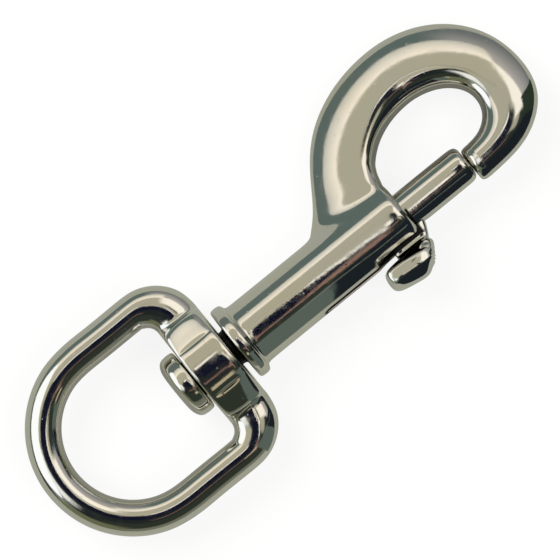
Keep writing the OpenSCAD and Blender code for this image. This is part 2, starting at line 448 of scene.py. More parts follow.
class Profile(Enum):
    """Half rings of ovals, from the outer edge over the top to the inner edge.

    Each place is in half widths and half thicknesses.
    """

    ROUND = tuple((cos(tau * n / RING), sin(tau * n / RING))
                  for n in range(RING // 2 + 1))
    ROOT = ((1, 0), (0.985, 0.2), (0.9, 0.36), (0.62, 0.62), (0.15, 0.865), (-0.35, 0.99),
            (-0.76, 0.965), (-0.97, 0.6), (-1, 0))
    CROWN = ((1, 0), (0.97, 0.22), (0.86, 0.455), (0.6, 0.705), (0.2, 0.905), (-0.22, 1),
             (-0.6, 0.935), (-0.92, 0.53), (-1, 0))
    FAR = ((1, 0), (0.975, 0.2), (0.87, 0.36), (0.55, 0.67), (0.15, 0.89), (-0.3, 1),
           (-0.66, 0.91), (-0.93, 0.52), (-1, 0))


@dataclass(frozen=True)
class Section:
    """The shape of a ring: an oval, a square with round corners, or something between."""

    square: float = 0.0              # 0 for an oval, 1 for a square
    half_ring: Half = Profile.ROUND.value
    corners: Pair = (0.5, 0.5)       # radius of the inner and outer corners, in mm
    dip: float = 0.0                 # how far the middle of the top and bottom lies in, in mm

    def oval(self) -> list[Pair]:
        """Gives the places of the oval's cage, in half widths and half thicknesses.

        Returns:
            (across, up) for each vertex.
        """
        aims = [*self.half_ring, *((across, -up) for across, up in reversed(self.half_ring[1:-1]))]
        if self.half_ring == Profile.ROUND.value:
            return [(across * cage_share(), up * cage_share()) for across, up in aims]
        places = list(aims)
        for _ in range(OVAL_ROUNDS):
            rings = zip(aims, places[-1:] + places[:-1], places, places[1:] + places[:1])
            places = [tuple(now[k] + aim[k] - (before[k] + 4 * now[k] + after[k]) / 6 for k in (0, 1))
                      for aim, before, now, after in rings]
        return places

    def box(self, half_w: float, half: float) -> list[Pair]:
        """Gives the places of the square's cage, in half widths and half thicknesses.

        Args:
            half_w: half the ring's width, in millimetres.
            half: half its thickness.

        Returns:
            (across, up) for each vertex.
        """
        places = []
        for number in range(RING):
            side = 1 if number <= RING // 4 or number >= RING * 3 // 4 else -1
            level = 1 if number <= RING // 2 else -1
            step = number % (RING // 2)
            radius = self.corners[side > 0]
            edge_w, edge_h = radius / half_w, radius / half
            across, up = [(1.0, 0.0), (1.0, 1 - CORNER_RUN * edge_h),
                          (1 - CORNER_CUT * edge_w, 1 - CORNER_CUT * edge_h),
                          (1 - CORNER_RUN * edge_w, 1.0), (0.0, 1.0)][min(step, RING // 2 - step)]
            places.append((across * side, up * level))
        return places

    def places(self, half_w: float, half: float) -> list[Pair]:
        """Gives the places of the whole ring's cage, as box does.

        Args:
            half_w: half the ring's width, in millimetres.
            half: half its thickness.

        Returns:
            (across, up) for each vertex.
        """
        dips = {RING // 4: 1.0, RING // 4 - 1: DIP_BESIDE, RING // 4 + 1: DIP_BESIDE}
        ring = []
        for number, (soft, hard) in enumerate(zip(self.oval(), self.box(half_w, half))):
            across, up = (mix(soft[k], hard[k], self.square) for k in (0, 1))
            dip = self.dip * dips.get(number % (RING // 2), 0.0) / half
            ring.append((across, up - copysign(dip, up)))
        return ring


@dataclass(frozen=True)
class Station:
    """A ring of a cage whose path lies in the XY plane."""

    inner: Vector
    outer: Vector
    half: float                      # half thickness, along Z
    section: Section = Section()

    def ring(self) -> list[Vector]:
        """Gives the places of the ring's vertices in its cage.

        Returns:
            The places.
        """
        middle, reach = (self.inner + self.outer) / 2, (self.outer - self.inner) / 2
        return [middle + reach * across + Vector((0, 0, self.half * up))
                for across, up in self.section.places(reach.length, self.half)]

    def flipped(self) -> "Station":
        """Gives the station carried over to the other side of the axis."""
        turned_over = Vector((1, -1, 1))
        return replace(self, inner=self.inner * turned_over, outer=self.outer * turned_over)


def proud(rings: Sequence[list[Vector]], closed: bool = False, rounds: int = 2) -> list[list[Vector]]:
    """Moves a path's rings out, so that the smoothed surface passes through them.

    Args:
        rings: the rings that the finished surface has along its path.
        closed: whether the last ring is next to the first.
        rounds: how often the rings are corrected.

    Returns:
        The rings of the cage.
    """
    count, cage = len(rings), [list(ring) for ring in rings]
    for _ in range(rounds):
        moved = [list(ring) for ring in cage]
        for number in range(0 if closed else 1, count if closed else count - 1):
            trio = zip(rings[number], cage[number - 1], cage[number], cage[(number + 1) % count])
            moved[number] = [now + aim - (before + now * 4 + after) / 6 for aim, before, now, after in trio]
        cage = moved
    return cage


class Cage:
    """A tube of rings that is drawn out from ring to ring, ready to be smoothed."""

    def __init__(self, name: str, rings: Sequence[Sequence[Vector]]) -> None:
        """Draws the tube through all its rings.

        Args:
            name: the piece's name.
            rings: the places of each ring's vertices.
        """
        self.piece, self.first = open_ring(name, RING, 1, rotation=(pi / 2, 0, 0))
        self.at = [Vector((cos(tau * n / RING), 0, sin(tau * n / RING)))
                   for n in range(RING)]
        self._carry(rings[0])
        for ring in rings[1:]:
            extrude((0, 0, 0))
            self._carry(ring)

    def _carry(self, ring: Sequence[Vector]) -> None:
        """Carries each vertex of the selected ring from where it is to its new place.

        Args:
            ring: the ring's new places.
        """
        numbers, mesh = picked(), open_mesh()
        slots = [min(range(RING), key=lambda k: (self.at[k] - mesh.verts[number].co).length)
                 for number in numbers]
        carry([(number, ring[slot]) for number, slot in zip(numbers, slots)])
        pick(numbers)
        self.at = list(ring)

    def cap(self) -> Object:
        """Closes the end at the last ring and gives the piece."""
        bpy.ops.mesh.edge_face_add()
        return self.piece

    def cap_both(self) -> Object:
        """Closes both ends and gives the piece."""
        close_ends(self.first)
        return self.piece

    def join_ends(self) -> Object:
        """Bridges the last ring to the first and gives the piece.

        Returns:
            The piece.
        """
        pick([*picked(), *self.first])
        bpy.ops.mesh.bridge_edge_loops()
        return self.piece


def turned_cage(name: str, outline: Sequence[Pair], steps: int = RING,
                centre_y: float = 0.0) -> Object:
    """Draws a ring out along the X axis through an outline, as a lathe would leave it.

    Args:
        name: the piece's name.
        outline: (place, radius) for each ring.
        steps: vertices round the ring.
        centre_y: how far the axis lies from the X axis.

    Returns:
        The closed piece, open for editing.
    """
    start, radius = outline[0]
    piece, first = open_ring(name, steps, radius, rotation=(0, pi / 2, 0),
                             location=(start, centre_y, 0))
    for place, new_radius in outline[1:]:
        extrude((place - start, 0, 0))
        share = new_radius / radius
        stretch((1, share, share), (place, centre_y, 0))
        start, radius = place, new_radius
    close_ends(first)
    return piece


def turned(name: str, outline: Sequence[Pair], steps: int = 96) -> Object:
    """Turns a closed shape about the X axis from an outline of (place, radius).

    Args:
        name: the shape's name.
        outline: (place, radius) of each ring.
        steps: vertices round the ring.

    Returns:
        The closed shape.
    """
    piece = turned_cage(name, outline, steps)
    face_outwards(piece)
    return piece


def plate(name: str, outline: Sequence[Pair], layers: Sequence[Pair]) -> Object:
    """Draws an outline in the XZ plane out along Y, spread at each layer.

    Args:
        name: the shape's name.
        outline: (x, z) of each corner.
        layers: (y, spread) of each layer, the spread in millimetres beyond the outline.

    Returns:
        The closed shape.
    """
    piece, _ = open_ring(name, len(outline), 1, fill_type="NGON", rotation=(pi / 2, 0, 0))
    low_x, high_x = min(p[0] for p in outline), max(p[0] for p in outline)
    half_z = max(p[1] for p in outline)
    centre_x, half_x = (low_x + high_x) / 2, (high_x - low_x) / 2
    at_y, at_spread = layers[0]
    corners = sorted(open_mesh().verts, key=lambda v: atan2(v.co.z, v.co.x))
    spots = sorted(outline, key=lambda p: atan2(p[1], p[0] - centre_x))
    numbers = [corner.index for corner in corners]
    carry([(number, Vector((x, at_y, z))) for number, (x, z) in zip(numbers, spots)])
    select("SELECT")
    for y, spread in layers[1:]:
        extrude((0, y - at_y, 0))
        wider, higher = ((half + spread) / (half + at_spread) for half in (half_x, half_z))
        stretch((wider, 1, higher), (centre_x, y, 0))
        at_y, at_spread = y, spread
    face_outwards(piece)
    return piece


# ------------------------------------------------------------------ pieces


@dataclass
class Piece:
    """What the makers of all pieces go by."""

    places: Places
    barrel_d: float = 9.1
    bolt_hold: float = 7.8           # length of the bolt in the barrel when the gate is shut
    low: float = 0.45                # how far the bolt and spring lie below the bore's axis

    @property
    def mouth(self) -> float:
        """Where the barrel ends."""
        return self.places.bolt_rear + self.bolt_hold


@dataclass
class HookCasting(Piece):
    """The hook, barrel, collar, stem and headed-over end, cast in one."""

    collar_d: float = 11.1
    collar_t: float = 1.95
    stem_d: float = 5.2
    head_d: float = 9.4
    head_t: float = 3.1
    end_float: float = 0.7
    hook_l: float = 16.8
    hook_h: float = 10.7
    crown_at: float = 9.4
    crown_w: float = 8.9
    side_w: float = 8.0
    limb_t: float = 5.8
    nose_d: float = 5.2
    nose_drop: float = 1.4
    nose_run: float = 1.1            # straight run of the nose
    nose_gap: float = 0.1            # from the bolt's tip to the working nose
    nose_proud: float = 0.06         # how far the nose's face comes forward of it
    root_l: float = 14.2
    root_top: int = 150              # angle of the bend at which the root starts
    root_spread: float = 8.3         # how much wider the bend's outside is there
    root_swell: float = 0.25         # how much its half thickness grows to the barrel
    foot_half: float = 45            # half angle that its foot takes of the barrel, in degrees
    rim_back: float = 0.5            # from the barrel's end to the ring that is drawn forward
    side_full: Pair = (2, 2.06)      # fullness of the far side's inside and outside
    tail_full: Pair = (2.15, 2.35)   # fullness of the tail's inside and outside
    bore_d: float = 6.4
    slot_w: float = 2.34
    slot_lead_w: float = 4.7
    slot_lead_l: float = 7.3
    slot_end: float = 38.8

    @property
    def nose(self) -> float:
        """The face of the working nose."""
        return self.places.bolt_tip + self.nose_gap

    def edge(self, angle: float, out: int) -> Vector:
        """Gives a point on the inside or the outside of the bend.

        Args:
            angle: 90 at its crown, 0 at its far side and -90 at the nose.
            out: 0 for the inside, 1 for the outside.

        Returns:
            The point.
        """
        crown, waist = self.mouth + self.crown_at, self.hook_h / 2
        top, far = self.hook_h + self.crown_w * out, self.mouth + self.hook_l + self.side_w * out
        if angle > 90:
            waist -= 1 - out
            return arc_point((crown, waist), (self.crown_at + self.root_spread * out, top - waist), angle)
        if angle > 0:
            return arc_point((crown, waist), (far - crown, top - waist), angle, self.side_full[out])
        tail, nose = self.nose + self.nose_run, self.nose_d * (0.5 - out) - self.nose_drop
        return arc_point((tail, waist), (far - tail, waist - nose), angle, self.tail_full[out])

    def root_station(self, share: float) -> Station:
        """Gives a ring of the root, from the bend (0) down to the barrel (1).

        Args:
            share: the share of the way down.

        Returns:
            The ring.
        """
        mouth, foot, radius = self.mouth, self.mouth - self.root_l, self.barrel_d / 2
        edges = []
        for out, step, *ends in (
                (0, (-0.8, -1.0), (mouth - 0.04, radius + 0.9), (mouth - 0.06, radius - 1.6)),
                (1, (-3.4, -4.8), (foot + 3.4, radius + 0.1), (foot, radius - 0.5))):
            top = self.edge(self.root_top, out).xy
            edges.append(bezier([top, top + Vector(step), *ends], share))
        return Station(*edges, self.limb_t / 2 + self.root_swell * ease(share),
                       Section(half_ring=Profile.ROOT.value))

    def bend_station(self, angle: float) -> Station:
        """Gives a ring of the bend, which grows round towards the nose.

        Args:
            angle: the place on the bend, as in edge.

        Returns:
            The ring.
        """
        turns = ((135, Profile.ROOT), (90, Profile.CROWN), (36, Profile.FAR), (-60, Profile.ROUND))
        shape = turns[0][1].value
        for (before, first), (after, second) in zip(turns, turns[1:]):
            if angle < before:
                shape = blended(first.value, second.value, ease((before - angle) / (before - after)))
        return Station(self.edge(angle, 0), self.edge(angle, 1),
                       mix(self.limb_t / 2, self.nose_d / 2, ease(-angle / 90)), Section(half_ring=shape))

    def nose_station(self, back: float, shrink: float, high: float) -> Station:
        """Gives a ring of the nose, a step back from its face, shrunk and lowered.

        Args:
            back: the step.
            shrink: how much less its radius is.
            high: the share of its thickness that is left.

        Returns:
            The ring.
        """
        x, radius = self.nose - self.nose_proud + back, self.nose_d / 2
        return Station(Vector((x, -self.nose_drop + radius - shrink, 0)),
                       Vector((x, -self.nose_drop - radius + shrink, 0)), radius * high)

    def limb(self) -> Object:
        """Draws the limb's cage from its root round the bend to the flat nose.

        Returns:
            The cage.
        """
        bends = (*range(self.root_top, -1, -15), *range(-18, -91, -18))
        path = proud([self.root_station(share).ring() for share in (0.72, 0.48, 0.24)]
                     + [self.bend_station(angle).ring() for angle in bends])
        nose = ((1.7, 0, 1), (0.9, 0, 0.93), (0.3, 0.08, 0.76), (0.04, 0.36, 0.56), (0, 0.95, 0.36),
                (0, 1.8, 0.15))
        return Cage("limb", [*path, *(self.nose_station(*step).ring() for step in nose)]).cap()

    def spindle(self) -> Object:
        """Draws the cage of the head, stem, collar and barrel, open where the limb joins.

        Returns:
            The cage.
        """
        head_r, stem_r = self.head_d / 2, self.stem_d / 2
        collar_r, radius = self.collar_d / 2, self.barrel_d / 2
        head, back = self.places.head, self.places.head + self.head_t
        collar, mouth = self.places.boss + self.end_float, self.mouth
        barrel, foot = collar + self.collar_t, mouth - self.root_l
        outline = [
            (head, head_r * 0.3), (head + 0.05, head_r * 0.6), (head + 0.25, head_r - 1.0),
            (head + 0.75, head_r - 0.2), (head + 1.5, head_r), (back - 0.55, head_r),
            (back - 0.1, head_r - 0.15), (back, head_r - 0.7), (back, stem_r + 0.15), (back + 0.1, stem_r),
            (collar - 0.1, stem_r), (collar, stem_r + 0.15), (collar, collar_r - 0.6),
            (collar + 0.1, collar_r - 0.12), (collar + 0.55, collar_r), (barrel - 0.75, collar_r),
            (barrel - 0.25, collar_r - 0.12), (barrel - 0.05, collar_r - 0.55), (barrel, radius + 0.3),
            (barrel + 0.2, radius + 0.04), (barrel + 1.2, radius), (mix(barrel, mouth, 0.25), radius),
            (foot - 0.6, radius), (foot + 2.0, radius), (mouth - 8.6, radius), (mouth - 4.6, radius),
            (mouth - 1.3, radius - 0.01), (mouth - self.rim_back, radius - 0.24),
            (mouth - 0.08, radius - 0.72), (mouth, radius - 1.15), (mouth, radius - 1.5)]
        piece = turned_cage("spindle", [(x, r * cage_share()) for x, r in outline])
        for half_angle, step in ((50, 0.2), (30, 0.18)):
            self._draw_rim_forward(radians(half_angle), step)
        pick_faces(lambda at: foot + 2.0 < at.x < mouth - 0.6
                   and abs(atan2(at.z, at.y)) < radians(self.foot_half))
        bpy.ops.mesh.delete(type="FACE")
        return piece

    def _draw_rim_forward(self, half_angle: float, step: float) -> None:
        """Draws the mouth's rim forward at the top, where the limb leaves it.

        Args:
            half_angle: how far round the rim it goes, in radians.
            step: how far forward.
        """
        level = self.mouth - self.rim_back
        pick([vertex.index for vertex in open_mesh().verts
              if level - 0.1 < vertex.co.x < level + 0.3
              and abs(atan2(vertex.co.z, vertex.co.y)) < half_angle])
        shift((step, 0, 0))

    def bore_cutter(self) -> Object:
        """Makes the cutter of the blind bore, with a softened mouth.

        Returns:
            The cutter.
        """
        radius, floor, mouth = self.bore_d / 2, self.places.bore_floor, self.mouth
        return turned("bore_cutter", [
            (floor, 0.05), (floor + 0.85, radius), (mouth - 0.22, radius), (mouth - 0.06, radius + 0.07),
            (mouth + 0.05, radius + 0.22), (mouth + 1, radius + 1.2)])

    def slot_cutter(self, edges: Sequence[Pair]) -> Object:
        """Makes a cutter for one stretch of the slot, with softened edges.

        Args:
            edges: places along the slot, each with half the width there, from the rear.

        Returns:
            The closed cutter, which runs out past the barrel's mouth.
        """
        edges = [*edges, (self.mouth + 1, self.slot_w / 2)]
        outline = [*reversed(edges), *((x, -half) for x, half in edges if half > FINE)]
        edge = -sqrt((self.barrel_d / 2) ** 2 - max(half for _, half in edges) ** 2)
        return plate("slot_cutter", outline, [(0.0, 0.0), (edge + 0.2, 0.0), (edge + 0.05, 0.04),
                                              (edge - 0.05, 0.12), (edge - 2, 0.3)])

    def narrow_slot(self) -> Object:
        """Makes the cutter of the slot that the web slides in, round at its rear end.

        Returns:
            The cutter.
        """
        half = self.slot_w / 2
        return self.slot_cutter([(self.slot_end + half * (1 - cos(a)), half * sin(a))
                                 for a in map(radians, range(0, 91, 15))])

    def slot_lead(self) -> Object:
        """Makes the cutter of the slot's wide front, whose ends are rounded.

        Returns:
            The cutter.
        """
        steps = 16
        return self.slot_cutter([
            (self.mouth - self.slot_lead_l * (1 - n / steps),
             mix(self.slot_w / 2, self.slot_lead_w / 2, sin(pi * n / steps) ** 0.5))
            for n in range(steps)])

    def build(self) -> Object:
        """Joins the limb to the spindle, smooths the casting, and cuts its bore and slot.

        Returns:
            The finished casting.
        """
        piece = join([self.spindle(), self.limb()])
        piece.name = "hook_casting"
        open_whole(piece)
        bpy.ops.mesh.select_mode(type="EDGE")
        select("DESELECT")
        bpy.ops.mesh.select_non_manifold()
        bpy.ops.mesh.bridge_edge_loops()
        subdivide(piece)
        for cutter in (self.bore_cutter, self.narrow_slot, self.slot_lead):
            carve(piece, cutter())
        return piece


@dataclass
class EyeCasting(Piece):
    """The swivel eye: a rod bent to a bow, and a crossbar with a boss that the stem runs in."""

    inside_w: float = 19.0
    inside_l: float = 20.1
    rod_d: float = 4.9
    boss_h: float = 11.6
    crown_r: float = 7.5
    crown_w: float = 7.2
    shoulder_slope: float = 25.5     # in degrees
    shoulder_end: float = 6.65
    drop_l: float = 1.1              # length of the drop from the shoulder to the rod
    crease_depth: float = 0.12
    corner_r: float = 1.8
    shoulder: Pair = (7.0, 6.6)      # outer corner, along and across the axis
    bore_d: float = 5.36

    def crossbar_half(self, y: float) -> float:
        """Gives half the height of the crossbar at a distance from the axis.

        Args:
            y: the distance.

        Returns:
            Half the height.
        """
        crease, half_boss = self.crown_w / 2, self.boss_h / 2
        if y < crease - FINE:
            return half_boss - (self.crown_r - sqrt(self.crown_r ** 2 - y ** 2))
        top = half_boss - (self.crown_r - sqrt(self.crown_r ** 2 - crease ** 2))
        slope = tan(radians(self.shoulder_slope))
        if y < self.shoulder_end:
            return top - (y - crease) * slope
        low = top - (self.shoulder_end - crease) * slope
        return mix(low, self.rod_d / 2, ease((y - self.shoulder_end) / self.drop_l))

    def bow(self) -> list[Station]:
        """Gives the stations of the bow, from the +Y side round to the -Y side.

        Returns:
            The stations.
        """
        inside, outside = self.inside_w / 2, self.inside_w / 2 + self.rod_d
        return [Station(*(arc_point((inside, 0), (r, r), a) for r in (inside, outside)), self.rod_d / 2)
                for a in range(90, 271, 15)]

    def straight(self, share: float) -> Station:
        """Gives a station of the -Y straight side, from the bow (0) to the corner (1).

        Args:
            share: the share of the way.

        Returns:
            The station.
        """
        start = self.inside_w / 2
        at = Vector((mix(start, self.inside_l - self.corner_r, share), -start, 0))
        away = Vector((mix(start, self.places.boss - self.shoulder[0], share), -start - self.rod_d, 0))
        return Station(at, away, self.rod_d / 2)

    def corner(self, share: float) -> Station:
        """Gives a station of the -Y corner, from the straight side (0) to the crossbar (1).

        Args:
            share: the share of the way.

        Returns:
            The station.
        """
        inside, angle, reach = self.inside_w / 2, -90 + 90 * share, self.shoulder
        inner = arc_point((self.inside_l - self.corner_r, -inside + self.corner_r),
                          (self.corner_r, self.corner_r), angle)
        outer = arc_point((self.places.boss - reach[0], -inside - self.rod_d + reach[1]), reach, angle)
        return Station(inner, outer, self.rod_d / 2, Section(0.2 * ease(share), corners=(1.2, 2.2)))

    def crossbar(self) -> list[Station]:
        """Gives the stations of the crossbar, from its -Y to its +Y end.

        Returns:
            The stations.
        """
        crease, end = self.crown_w / 2, self.shoulder_end
        # distance from the axis, then squareness, corner radii and dip
        plan = [(end + self.drop_l, 0.3, (1.2, 2.2), 0), (end + self.drop_l * 0.5, 0.5, (1.1, 2.1), 0),
                (end, 0.85, (1.0, 2.0), 0), ((crease + end) / 2 + 0.2, 1, (0.9, 1.8), 0),
                (crease + 0.5, 1, (0.7, 1.4), 0), (crease, 1, (0.6, 1.2), self.crease_depth),
                (crease - 0.5, 1, (0.6, 1.1), 0), (1.7, 1, (0.6, 1.0), 0), (0, 1, (0.6, 1.0), 0)]
        bars = [Station(Vector((self.inside_l, -y, 0)), Vector((self.places.boss, -y, 0)),
                        self.crossbar_half(y), Section(square, corners=radii, dip=dip))
                for y, square, radii, dip in plan]
        return [*bars, *(station.flipped() for station in reversed(bars[:-1]))]

    def build(self) -> Object:
        """Draws the closed loop of the eye, smooths it and drills its boss.

        Returns:
            The finished casting.
        """
        lower = [self.straight(share) for share in (0.3, 0.65)]
        lower += [self.corner(share) for share in (0, 0.2, 0.4, 0.6, 0.8)]
        upper = [station.flipped() for station in reversed(lower)]
        stations = [*self.bow(), *lower, *self.crossbar(), *upper]
        loop = proud([station.ring() for station in stations], closed=True)
        piece = Cage("eye_casting", loop).join_ends()
        subdivide(piece)
        radius, start, end = self.bore_d / 2, self.inside_l, self.places.boss
        carve(piece, turned("boss_cutter", [
            (start - 1, radius + 1.2), (start, radius + 0.2), (start + 0.2, radius),
            (end - 0.2, radius), (end, radius + 0.2), (end + 1, radius + 1.2)]))
        return piece


@dataclass
class SlidingBolt(Piece):
    """The bolt, with the web and the thumb knob that it is cast with."""

    bolt_d: float = 5.4
    web_t: float = 2.1
    web_back: float = 4.7
    web_front: float = 1.5
    web_foot: float = 22.5           # half angle that the web takes of the pin, in degrees
    knob_gap: float = 0.4
    knob_past: float = 0.6           # how far the knob reaches past the mouth
    knob_w: float = 6.0
    knob_l: float = 8.4
    knob_h: float = 4.0
    face_from: float = 0.3           # share of its width beyond which a ring is a face's
    face_lean: float = 0.19          # slope of the faces' front parts
    lean_from: float = 0.58          # share of its length where they start
    grooves: int = 6
    groove_start: float = 0.25       # from the corner of the knob to the first
    groove_pitch: float = 0.42
    groove_depth: float = 0.16
    groove_share: float = 0.8        # of the knob's width

    @property
    def knob_top(self) -> float:
        """The knob's side towards the barrel."""
        return -self.barrel_d / 2 - self.knob_gap

    def on_knob(self, along: float, down: float, z: float = 0) -> Vector:
        """Gives a point on the knob, at shares of its length and height."""
        rear = self.mouth + self.knob_past - self.knob_l
        return Vector((rear + self.knob_l * along, self.knob_top - self.knob_h * down, z))

    def pin(self) -> Object:
        """Draws the pin, and pulls the web out of its underside.

        Returns:
            The pin with its web.
        """
        rear, tip, radius = self.places.bolt_rear, self.places.bolt_tip, self.bolt_d / 2
        web_rear, web_front = self.mouth - self.web_back, self.mouth + self.web_front
        outline = [
            (rear, radius - 1.4), (rear, radius - 0.5), (rear + 0.1, radius - 0.16), (rear + 0.5, radius),
            (mix(rear, web_rear, 0.6), radius), (web_rear, radius),
            (mix(web_rear, web_front, 1 / 3), radius), (mix(web_rear, web_front, 2 / 3), radius),
            (web_front, radius), (web_front + 1.2, radius), (tip - 1.6, radius), (tip - 0.75, radius - 0.04),
            (tip - 0.2, radius - 0.28), (tip, radius - 0.75), (tip, radius - 1.5)]
        piece = turned_cage("bolt_casting", [(x, r * cage_share()) for x, r in outline], centre_y=-self.low)
        pick_faces(lambda at: web_rear < at.x < web_front
                   and abs(atan2(at.z, -(at.y + self.low))) < radians(self.web_foot))
        mesh = open_mesh()
        half_at, front_at = max(mesh.verts[n].co.z for n in picked()), web_front
        for y, front, side in self._web_layers(self.knob_top, web_front):
            extrude((0, 0, 0))
            mesh = open_mesh()
            low_y = min(mesh.verts[n].co.y for n in picked())
            stretch(((front - web_rear) / (front_at - web_rear), 0, side / half_at), (web_rear, low_y, 0))
            shift((0, y - low_y, 0))
            half_at, front_at = side, front
        subdivide(piece)
        return piece

    def _web_layers(self, top: float, front: float) -> list[Triple]:
        """Gives the web's y, front and half thickness, from the pin down into the knob.

        Args:
            top: the knob's top.
            front: the web's front.

        Returns:
            The layers.
        """
        steps = ((2.1, 0.1, 0.9), (1.3, 0.35, 0.95), (0.55, 0.75, 0.78), (0.15, 0.95, 0.72),
                 (-0.08, 1.1, 0.95), (-0.9, 1.5, 1.3))
        return [(top + above, front - back, self.web_t / 2 * share) for above, back, share in steps]

    def knob_ring(self, corners: Sequence[Pair], z: float, share: float) -> list[Vector]:
        """Gives a level ring of the knob's cage, leaning down at its front if it is a face's.

        Args:
            corners: the outline, as shares of the knob's length and height.
            z: the ring's level.
            share: its size, as a share of the outline's.

        Returns:
            The vertices.
        """
        points = [self.on_knob(*corner, z) for corner in corners]
        middle = sum(points, Vector()) / len(points)
        points = [middle + (point - middle) * share for point in points]
        if z > self.knob_w * self.face_from:
            for point in points:
                point.z -= self.face_lean * max(0.0, point.x - self.on_knob(self.lean_from, 0).x)
        return points

    def knob(self) -> Object:
        """Draws the thumb knob, a lozenge with a flat face on each side and broad bevels.

        Returns:
            The knob.
        """
        rim = ((1.0, 0.28), (0.985, 0.12), (0.92, 0.0), (0.8, -0.05), (0.58, 0.0), (0.33, 0.03),
               (0.12, 0.06), (0.03, 0.15), (0.0, 0.42), (0.0, 0.7), (0.05, 0.84), (0.16, 0.92),
               (0.36, 1.0), (0.56, 1.07), (0.68, 1.0), (0.87, 0.65))
        face = ((0.82, 0.5), (0.815, 0.43), (0.775, 0.385), (0.68, 0.355), (0.52, 0.3),
                (0.38, 0.265), (0.22, 0.255), (0.155, 0.28), (0.135, 0.42), (0.14, 0.58),
                (0.155, 0.675), (0.24, 0.695), (0.42, 0.715), (0.6, 0.74), (0.71, 0.755), (0.785, 0.665))
        flat = self.knob_w / 2
        half = [self.knob_ring(*ring) for ring in (
            (face, flat + 0.03, 0.4), (face, flat, 0.85), (face, flat - 0.2, 1.1),
            (face, flat - 0.52, 1.26), (rim, flat * 0.45, 0.92), (rim, flat * 0.2, 1.0))]
        under = [[Vector((p.x, p.y, -p.z)) for p in ring] for ring in reversed(half)]
        piece = Cage("knob", [*half, *under]).cap_both()
        subdivide(piece)
        return piece

    def grooves_cutter(self) -> Object:
        """Makes the cutter of the grip grooves in the knob's front flank.

        Returns:
            The cutter.
        """
        start = self.on_knob(1, 0.26)
        run = (self.on_knob(0.74, 0.9) - start).normalized()
        out = Vector((-run.y, run.x, 0)) * self.groove_depth / 4
        cutters = []
        for number in range(self.grooves):
            clear_bench()
            bpy.ops.mesh.primitive_cylinder_add(
                vertices=12, radius=self.groove_depth, depth=self.knob_w * self.groove_share,
                location=start + run * (self.groove_start + number * self.groove_pitch) + out)
            cutters.append(bpy.context.object)
            place_in_mesh(cutters[-1])
        return join(cutters)

    def build(self) -> Object:
        """Draws the pin and its web, and joins the grooved knob to them.

        Returns:
            The finished bolt.
        """
        piece, knob = self.pin(), self.knob()
        carve(knob, self.grooves_cutter())
        carve(piece, knob, "UNION")
        return piece


@dataclass
class CoilSpring(Piece):
    """The compression spring behind the bolt, with closed end turns."""

    wire_d: float = 0.45
    coil_r: float = 2.325
    coils: int = 9
    closed_pitch: float = 1.05       # of the end turns, in wire diameters
    steps: int = 18                  # for each turn
    sides: int = 8                   # of the wire

    def build(self) -> Object:
        """Draws a ring of the wire along the helix.

        Returns:
            The finished spring.
        """
        radius = self.wire_d / 2
        start, end = self.places.spring_start + radius, self.places.spring_end - radius
        closed = self.wire_d * self.closed_pitch
        opened = (end - start - 2 * closed) / (self.coils - 2)
        piece, first = open_ring("spring_wire", self.sides, radius,
                                 location=(start, self.coil_r - self.low, 0))
        for step in range(self.coils * self.steps):
            pitch = opened if 1 <= step / self.steps < self.coils - 1 else closed
            extrude((pitch / self.steps, 0, 0))
            bpy.ops.transform.rotate(value=-tau / self.steps, orient_axis="X",
                                     center_override=(0, -self.low, 0))
        close_ends(first)
        subdivide(piece, 1)
        return piece


# ------------------------------------------------------------------ nodes


class Nodes:
    """The nodes of one material or world."""

    def __init__(self, owner: bpy.types.Material | bpy.types.World) -> None:
        """Turns the owner's nodes on."""
        owner.use_nodes = True
        self.tree = owner.node_tree

    def plug(self, node: bpy.types.Node, inputs: dict[str | int, Any]) -> None:
        """Sets or links a node's inputs.

        Args:
            node: the node.
            inputs: a number, a colour or another node's output for each input.
        """
        for name, value in inputs.items():
            if isinstance(value, Socket):
                self.tree.links.new(value, node.inputs[name])
            else:
                node.inputs[name].default_value = value

    def add(self, kind: str, inputs: dict[str | int, Any] | None = None, output: str | int = 0,
            **settings: str) -> Socket:
        """Adds a node.

        Args:
            kind: its type, without the leading ShaderNode.
            inputs: a number, a colour or another node's output for each input.
            output: the wanted output.
            settings: its settings, such as its operation.

        Returns:
            The wanted output.
        """
        node = self.tree.nodes.new("ShaderNode" + kind)
        for name, value in settings.items():
            setattr(node, name, value)
        self.plug(node, inputs or {})
        return node.outputs[output]

    def calc(self, operation: str, *values: Socket | float) -> Socket:
        """Adds a Math node and gives its result."""
        return self.add("Math", dict(enumerate(values)), operation=operation)

    def spread(self, value: Socket, low: float, high: float, start: float = 0, end: float = 1,
               curve: str = "LINEAR") -> Socket:
        """Spreads a stretch of a value over a range, held at its ends.

        Args:
            value: the value.
            low: where the stretch starts.
            high: where it ends.
            start: the range's first end.
            end: its other end.
            curve: LINEAR or SMOOTHSTEP.

        Returns:
            The result.
        """
        return self.add("MapRange", {"Value": value, "From Min": low, "From Max": high,
                                     "To Min": start, "To Max": end}, "Result", interpolation_type=curve)

    def blend(self, share: Socket, first: Socket | Triple, second: Socket | Triple) -> Socket:
        """Blends two colours, given as numbers or as outputs."""
        first, second = (c if isinstance(c, Socket) else (*c, 1) for c in (first, second))
        return self.add("Mix", {"Factor": share, "A": first, "B": second}, "Result", data_type="RGBA")

    def show(self, surface: Socket) -> None:
        """Links a shader to the material's output."""
        self.plug(self.tree.nodes["Material Output"], {"Surface": surface})


def new_material(name: str) -> tuple[bpy.types.Material, Nodes]:
    """Adds a material and gives it with its nodes."""
    material = bpy.data.materials.new(name)
    return material, Nodes(material)


# ------------------------------------------------------------------ finishes


